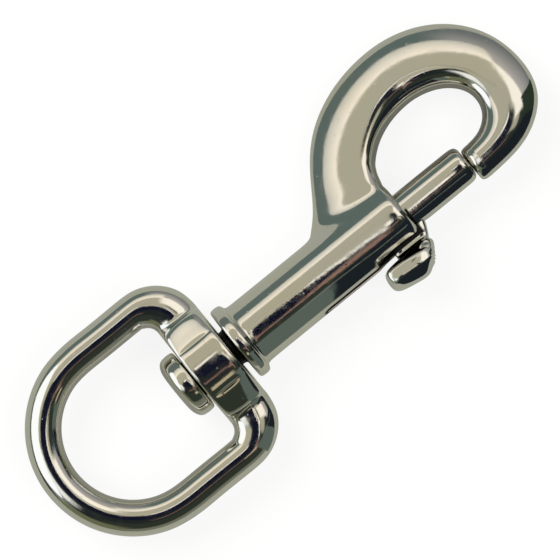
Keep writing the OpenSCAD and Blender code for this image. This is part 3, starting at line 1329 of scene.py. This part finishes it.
@dataclass(frozen=True)
class Plating:
    """Polished plating on cast metal: its tone, its gloss, its small flaws and the shade painted into its
    recesses.
    """

    name: str
    colour: Triple = (0.70, 0.685, 0.64)
    warm: Triple = (0.72, 0.69, 0.62)
    smooth: float = 0.07       # roughness where it is best polished
    rough: float = 0.16        # roughness where it is worn
    ripple: float = 0.10       # strength of the casting's waves
    dimple: float = 0.15       # strength of the fine orange peel
    pit: float = 0.25          # strength of the pits
    tint: Quad = (90, 2, 0.4, 0.6)       # scale, detail and range of the change of tone
    wear: Quad = (700, 5, 0.45, 0.75)    # and of the change of gloss
    wave: Triple = (160, 1, 0.0004)      # scale, detail and depth of the waves
    peel: Triple = (1100, 3, 0.00004)    # of the orange peel
    pits: Triple = (700, 0.09, 0.00006)  # scale, radius and depth of the pits
    painted_shade: Triple = (0.03, 0.03, 0.032)   # colour of the painted shade in the recess
    painted_shade_rough: float = 0.5
    # painted shade, dark and rough, between these two radii, and between these two places along the axis
    recess: Quad | None = None
    fades: Quad = (0.05, 0.1, 0.1, 0.2)  # width of the painted shade's four edges

    def material(self) -> bpy.types.Material:
        """Builds the plating as nodes on Object coordinates.

        Returns:
            The material.
        """
        material, nodes = new_material(self.name)
        place = nodes.add("TexCoord", output="Object")

        def noise(scale: float, detail: float) -> Socket:
            """A noise at a scale in cycles a metre."""
            return nodes.add("TexNoise", {"Vector": place, "Scale": scale, "Detail": detail}, "Fac")

        colour = nodes.blend(nodes.spread(noise(*self.tint[:2]), *self.tint[2:]), self.colour, self.warm)
        gloss = nodes.spread(noise(*self.wear[:2]), *self.wear[2:], self.smooth, self.rough)
        # painted shade: the recess is darkened to near black and made rougher
        if self.recess:
            inside = self._painted_shade_mask(nodes, place)
            colour = nodes.blend(inside, colour, self.painted_shade)
            gloss = nodes.add("Mix", {"Factor": inside, "A": gloss, "B": self.painted_shade_rough}, "Result")
        cells = nodes.add("TexVoronoi", {"Vector": place, "Scale": self.pits[0]}, "Distance")
        relief = {}
        for height, strength, (*_, depth) in ((noise(*self.wave[:2]), self.ripple, self.wave),
                                              (noise(*self.peel[:2]), self.dimple, self.peel),
                                              (nodes.spread(cells, 0, self.pits[1]), self.pit, self.pits)):
            relief = {"Normal": nodes.add("Bump", {"Height": height, "Strength": strength,
                                                   "Distance": depth, **relief})}
        nodes.plug(nodes.tree.nodes["Principled BSDF"],
                   {"Metallic": 1, "Base Color": colour, "Roughness": gloss, **relief})
        return material

    def _painted_shade_mask(self, nodes: Nodes, place: Socket) -> Socket:
        """Gives the mask of the painted shade: 1 between two radii and two places along the X axis, and 0
        elsewhere.

        Args:
            nodes: the plating's nodes.
            place: the Object coordinates.

        Returns:
            The mask.
        """
        inner, outer, start, end = (place_mm * MM for place_mm in self.recess)
        inner_fade, outer_fade, start_fade, end_fade = (width * MM for width in self.fades)
        across = nodes.add("VectorMath", {0: place, 1: (0, 1, 1)}, operation="MULTIPLY")
        away = nodes.add("VectorMath", {0: across}, "Value", operation="LENGTH")
        along = nodes.add("SeparateXYZ", {0: place}, "X")
        mask = nodes.spread(away, outer, outer + outer_fade, 1, 0)
        for part in (nodes.spread(away, inner - inner_fade, inner),
                     nodes.spread(along, start, start + start_fade),
                     nodes.spread(along, end, end + end_fade, 1, 0)):
            mask = nodes.calc("MULTIPLY", mask, part)
        return mask


class Finish(Enum):
    """The finishes of the pieces."""

    # painted shade in the stem's gap at the collar, in the bore and on the slot's walls
    HOOK = Plating("hook_nickel", recess=(-1, 4.3, 20.15, 54.4))
    EYE = Plating("eye_nickel", colour=(0.71, 0.69, 0.64), ripple=0.12)
    # painted shade on the web where it runs in the slot
    BOLT = Plating("bolt_nickel", colour=(0.70, 0.69, 0.65), smooth=0.06, rough=0.12,
                   recess=(2.8, 4.35, 49.9, 56.0))
    SPRING = Plating("spring_wire_steel", colour=(0.45, 0.45, 0.46), warm=(0.4, 0.4, 0.4),
                     smooth=0.25, rough=0.4, pit=0.0)


def dress(piece: Object, finish: Finish) -> None:
    """Gives a piece its finish as its only material."""
    piece.data.materials.clear()
    piece.data.materials.append(finish.value.material())


# ------------------------------------------------------------------ studio


@dataclass(frozen=True)
class Card:
    """A soft-edged patch of the studio's surroundings, seen only as light and reflection.

    Its azimuth is seen from the camera: 0 lies to its right, and 90 above. Its heights
    are angles from straight up.
    """

    azimuth: float       # of its middle
    half: float          # half its width
    high: float          # its upper edge
    low: float           # its lower edge
    colour: Triple
    soft: float = 6.0    # width of its edges
    foot: Triple | None = None   # its colour at its lower edge, if not the same


CARDS = (
    Card(310, 60, 34, 88, (0.035, 0.045, 0.035), 8),      # dim wall behind the camera
    Card(0, 62, 70, 96, (0.20, 0.22, 0.18), 10),          # foot of the wall on the right
    Card(262, 40, 70, 96, (0.20, 0.22, 0.17), 10),        # foot of the wall below
    Card(243, 20, 58, 96, (0.17, 0.19, 0.11), 10),        # olive corner
    Card(60, 46, 44, 100, (0.60, 0.57, 0.56), 5, (0.06, 0.10, 0.12)),       # wall, lit at its top
    Card(10, 6, 60, 84, (0.22, 0.42, 0.62), 6),           # a scrap of sky
    Card(150, 50, 60, 100, (0.14, 0.19, 0.18), 12),       # teal wall above left
    Card(40, 50, 17, 34, (0.52, 0.50, 0.40), 6),          # tan ceiling, at its near end
    Card(132, 58, 17, 45, (0.55, 0.53, 0.42), 6),         # tan ceiling
    Card(135, 56, 43.5, 62.5, (1.30, 1.20, 1.04), 4, (0.68, 0.68, 0.62)),   # its lit end
    Card(50, 32, 20, 45, (1.30, 1.24, 1.12), 6),          # lamp shade above right
    Card(212, 14, 46, 76, (0.34, 0.40, 0.36), 10),        # curtain on the left
    Card(212, 19, 23, 48, (1.15, 1.18, 1.18), 11),        # pale blind above it
    Card(130, 26, 11, 16, (1.28, 1.24, 1.15), 3),         # strip light
    Card(310, 30, 22, 25.5, (0.26, 0.16, 0.14), 3),       # warm streak
)

# Cards that hang close enough to change along the part, in millimetres. The level ones have
# their name, light and (x, y) corners, and the upright ones a distance aside and (x, z) corners.
CARD_HEIGHT = 205
LEVEL_CARDS = (
    ("tan_card", (0.55, 0.53, 0.42),
     ((60.3, 66), (60.3, -59), (50, -13), (42, 24), (39, 8), (38, 7), (28, 24), (28, 66))),
    ("tan_card_pin", (0.55, 0.53, 0.42), ((60.3, 66), (60.3, -5), (73.5, -5), (73.5, 66))),
    ("strip_card", (1.28, 1.24, 1.15),
     ((60.3, -59), (60.3, -87), (50, -41), (42, -3), (38, 7), (39, 8), (42, 24), (50, -13))),
    ("strip_card_pin", (1.28, 1.24, 1.15), ((60.3, -5), (60.3, -46), (73.5, -46), (73.5, -5))),
    ("navy_card", (0.006, 0.008, 0.024),
     ((28, 24), (38, 7), (42, -3), (50, -41), (60, -87), (60, -97), (50, -61), (42, -68), (33, -92),
      (28, -98))),
    ("warm_card", (0.24, 0.155, 0.13),
     ((60, -97), (60, -160), (50, -148), (42, -113), (28, -111), (28, -98), (33, -92), (42, -68),
      (50, -61))),
    ("warm_line", (0.58, 0.36, 0.28),
     ((60, -118), (60, -150), (50, -132), (42, -111), (30, -108), (30, -101), (42, -90), (50, -90))),
)
UPRIGHT_CARDS = (
    ("lit_shelf", (0.60, 0.53, 0.37), -28, ((18.5, 30.5), (26, 30.5), (26, 39), (18.5, 39))),
    ("teal_wall", (0.125, 0.165, 0.15), -28, ((26.3, -5.9), (41, -5.9), (43, 32), (26.3, 32))),
    ("dark_flag", (0.014, 0.020, 0.026), -28, ((41, -5.9), (110, -5.9), (110, 38), (43, 38))),
    ("rod", (0.24, 0.26, 0.22), -27.5,
     ((36, 25.5), (44, 27), (50, 21.8), (70, 20), (70, 22), (50, 23.2), (44, 29), (36, 26.5))),
)
SIDE_FLAG = ("side_flag", ((110, -28, -5.9), (125, 0, -5.9), (125, 0, 60), (110, -28, 38)),
             (0.03, 0.045, 0.03))


@dataclass(frozen=True)
class Window:
    """The tall window close by the eye, which only the metal sees, in millimetres."""

    beside: Pair = (9.5, 0)      # the place it faces
    away: float = 52             # how far to the left of that place, as the camera sees it
    aside: float = -3            # how far its middle lies to the side of that place
    size: float = 66
    low: float = 8.5             # level of its lower edge
    colour: Triple = (1.35, 1.42, 1.5)
    # corners, as shares of its size
    outline: tuple[Pair, ...] = (
        (-0.72, 0.38), (-0.5, 0.14), (-0.3, 0.02), (0.3, 0.02), (0.5, 0.14), (0.72, 0.38),
        (0.72, 0.52), (0.5, 0.84), (0.3, 1.0), (-0.3, 1.0), (-0.5, 0.84), (-0.72, 0.52))

    def corners(self, turn: float) -> list[Vector]:
        """Gives its corners for a camera that is turned by an angle in radians.

        Args:
            turn: the camera's turn.

        Returns:
            The corners.
        """
        way = Matrix.Rotation(turn, 3, "Z")
        return [Vector((*self.beside, self.low)) + way @ Vector(
            (-self.away, along * self.size + self.aside, up * self.size)) for along, up in self.outline]


@dataclass
class Studio:
    """Floor, surroundings, lamps and camera."""

    aim: Pair = (37.13, 2.97)            # the place that the camera faces
    view_w: float = 74.51                # width of the view there
    turn: float = radians(-39.12)        # of the camera
    distance: float = 1000.0             # of the camera
    sensor: float = 36
    overhead: Card = Card(0, 360, -20, 11, (0.008, 0.010, 0.028), 3)
    pale: Triple = (0.9, 0.9, 0.89)      # the floor
    floor_gap: float = 0.02              # between the floor and the snap, in millimetres
    lamp_away: float = 1.2               # in metres
    dusk: Triple = (0.020, 0.026, 0.028)  # the room where no card hangs
    ground: Triple = (0.36, 0.38, 0.31)  # the floor as the metal sees it
    white_share: float = 0.86            # how far the floor's shading is whitened
    # (x, y, radius, share of the light left) of the ground's shaded patches
    shaded: tuple[Quad, ...] = ((64.5, 6.0, 8.5, 0.3), (8.5, 0.0, 10.5, 0.55))
    shade_edge: Pair = (0.7, 1.15)       # where a patch's edge starts and ends, in radii
    side_soft: float = 1.5               # how much softer a card's sides are than its other edges

    def camera(self) -> None:
        """Adds the camera, straight above, with a long lens."""
        clear_bench()
        bpy.ops.object.camera_add(location=Vector((*self.aim, self.distance)) * MM,
                                  rotation=(0, 0, self.turn))
        camera = bpy.context.object
        camera.name = "camera"
        camera.data.sensor_width = self.sensor
        camera.data.lens = self.sensor * self.distance / self.view_w
        camera.data.clip_end = 10
        bpy.context.scene.camera = camera

    def floor(self, height: float) -> None:
        """Adds the pale floor that the snap lies on.

        It looks white to the camera but for the shadow on it, and the metal sees it as
        the shaded ground that it is this close under the piece.

        Args:
            height: the floor's level, in metres.
        """
        clear_bench()
        bpy.ops.mesh.primitive_plane_add(size=4, location=(0, 0, height))
        floor = bpy.context.object
        floor.name = "floor"
        place_in_mesh(floor)
        material, nodes = new_material("pale_floor")
        plain = nodes.tree.nodes["Principled BSDF"]
        nodes.plug(plain, {"Base Color": (*self.pale, 1), "Roughness": 0.9})
        rays = nodes.add("LightPath").node.outputs
        seen = nodes.add("Emission", {"Color": self._ground_seen(nodes)})
        bright = nodes.add("MixShader", {0: rays["Is Glossy Ray"], 1: nodes.add("Emission"), 2: seen})
        direct = nodes.calc("MAXIMUM", rays["Is Camera Ray"], rays["Is Glossy Ray"])
        direct = nodes.calc("MAXIMUM", direct, rays["Is Transmission Ray"])
        share = nodes.calc("MULTIPLY", direct, self.white_share)
        nodes.show(nodes.add("MixShader", {0: share, 1: plain.outputs[0], 2: bright}))
        floor.data.materials.append(material)

    def _ground_seen(self, nodes: Nodes) -> Socket:
        """Gives the ground's colour for the metal, darker in the middle of the hook and the eye.

        Args:
            nodes: the floor's nodes.

        Returns:
            The colour.
        """
        place = nodes.add("TexCoord", output="Object")
        colour = (*self.ground,)
        for x, y, radius, share in self.shaded:
            middle = (x * MM, y * MM, WORKING_BOX[0].z)
            away = nodes.add("VectorMath", {0: place, 1: middle}, "Value", operation="DISTANCE")
            edge = (radius * reach * MM for reach in self.shade_edge)
            depth = nodes.spread(away, *edge, share, 1, "SMOOTHSTEP")
            colour = nodes.add("VectorMath", {0: colour, "Scale": depth}, operation="SCALE")
        return colour

    def panel(self, name: str, corners: Sequence[Sequence[float]], colour: Triple) -> None:
        """Adds a card that hangs close by, and that only the metal sees.

        Args:
            name: its name.
            corners: its corners in turn, in millimetres.
            colour: its light.
        """
        card, numbers = open_ring(name, len(corners), 1, fill_type="NGON")
        carry([(number, Vector(corner)) for number, corner in zip(numbers, corners)])
        lay(card)
        material, nodes = new_material(name)
        nodes.tree.nodes.remove(nodes.tree.nodes["Principled BSDF"])
        nodes.show(nodes.add("Emission", {"Color": (*colour, 1)}))
        card.data.materials.append(material)
        card.visible_camera = card.visible_diffuse = card.visible_shadow = False

    def surroundings(self) -> None:
        """Paints the world as a dim room with pale and dark cards in it."""
        world = bpy.data.worlds.new("studio")
        bpy.context.scene.world = world
        nodes = Nodes(world)
        way = nodes.add("SeparateXYZ", {0: nodes.add("TexCoord", output="Generated")}).node.outputs
        height = nodes.calc("ARCCOSINE", way["Z"])
        azimuth = nodes.calc("SUBTRACT", nodes.calc("ARCTAN2", way["Y"], way["X"]), self.turn)

        def inside(off: Socket, half: float, soft: float) -> Socket:
            """Gives 1 where an angle is below a half width, and 0 beyond its soft edge."""
            outer, inner = radians(half + soft / 2), radians(half - soft / 2)
            return nodes.spread(nodes.calc("ABSOLUTE", off), outer, inner, curve="SMOOTHSTEP")

        colour = self.dusk
        for card in (*CARDS, self.overhead):
            off = nodes.calc("SUBTRACT", azimuth, radians(card.azimuth))
            aside = nodes.calc("WRAP", off, pi, -pi)
            above = nodes.calc("SUBTRACT", height, radians((card.high + card.low) / 2))
            share = nodes.calc("MULTIPLY", inside(aside, card.half, card.soft * self.side_soft),
                               inside(above, (card.low - card.high) / 2, card.soft))
            paint = card.colour
            if card.foot:
                fade = nodes.spread(height, radians(card.high), radians(card.low))
                paint = nodes.blend(fade, paint, card.foot)
            colour = nodes.blend(share, colour, paint)
        nodes.plug(nodes.tree.nodes["Background"], {"Color": colour})

    def lamp(self, azimuth: float, height: float, size: float, power: float) -> None:
        """Adds a soft lamp that lights the floor, and that the metal doesn't mirror.

        Args:
            azimuth: as seen from the camera, in degrees.
            height: its angle from straight up, in degrees.
            size: in metres.
            power: in watts.
        """
        clear_bench()
        way, tilt = radians(azimuth) + self.turn, radians(height)
        toward = Vector((cos(way) * sin(tilt), sin(way) * sin(tilt), cos(tilt)))
        bpy.ops.object.light_add(type="AREA", location=Vector((*self.aim, 0)) * MM + toward * self.lamp_away,
                                 rotation=toward.to_track_quat("Z", "Y").to_euler())
        lamp = bpy.context.object
        lamp.data.shape = "DISK"
        lamp.data.size = size
        lamp.data.energy = power
        lamp.visible_glossy = False

    def build(self) -> None:
        """Sets up the whole studio."""
        bpy.context.scene.view_settings.view_transform = "Standard"
        self.camera()
        self.floor(WORKING_BOX[0].z - self.floor_gap * MM)
        self.surroundings()
        self.lamp(azimuth=150, height=40, size=0.9, power=11)
        self.lamp(azimuth=330, height=30, size=0.9, power=6.5)
        for name, colour, corners in LEVEL_CARDS:
            self.panel(name, [(x, y, CARD_HEIGHT) for x, y in corners], colour)
        for name, colour, aside, corners in UPRIGHT_CARDS:
            self.panel(name, [(x, aside, z) for x, z in corners], colour)
        self.panel(*SIDE_FLAG)
        self.panel("window", Window().corners(self.turn), Window.colour)


# ------------------------------------------------------------------ assembly


def roll_of_body(hook: HookCasting, eye: EyeCasting) -> float:
    """Gives the roll at which the hook's belly lies as low as the eye's boss, in radians."""
    return -asin((eye.boss_h - hook.limb_t) / 2 / (hook.hook_h + hook.crown_w / 2))


def main() -> None:
    """Builds the pieces in order, dresses them, and hangs them on the working bodies."""
    logging.basicConfig(level=logging.INFO, format="%(message)s")
    places = Places.read()
    hook, eye = HookCasting(places), EyeCasting(places)
    bolt, spring = SlidingBolt(places), CoilSpring(places)
    roll = roll_of_body(hook, eye)
    work = (
        (hook, "hook_body", Body.BODY, Slot.BODY, Finish.HOOK, roll),
        (eye, "swivel_eye", Body.EYE, Slot.EYE, Finish.EYE, 0.0),
        (bolt, "bolt", Body.BOLT, Slot.BOLT, Finish.BOLT, roll),
        (spring, "spring", Body.BODY, Slot.SPRING, Finish.SPRING, roll),
    )
    for maker, node, body, slot, finish, lie in work:
        piece = maker.build()
        soften(piece)
        lay(piece, lie)
        dress(piece, finish)
        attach(piece, body.value)
        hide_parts(node)
        log.info("%s: %d faces, in place of %s", piece.name, len(piece.data.polygons), node)
        if maker is spring:
            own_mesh(piece)
    Studio().build()
    bpy.context.view_layer.update()


if __name__ == "__main__":
    main()
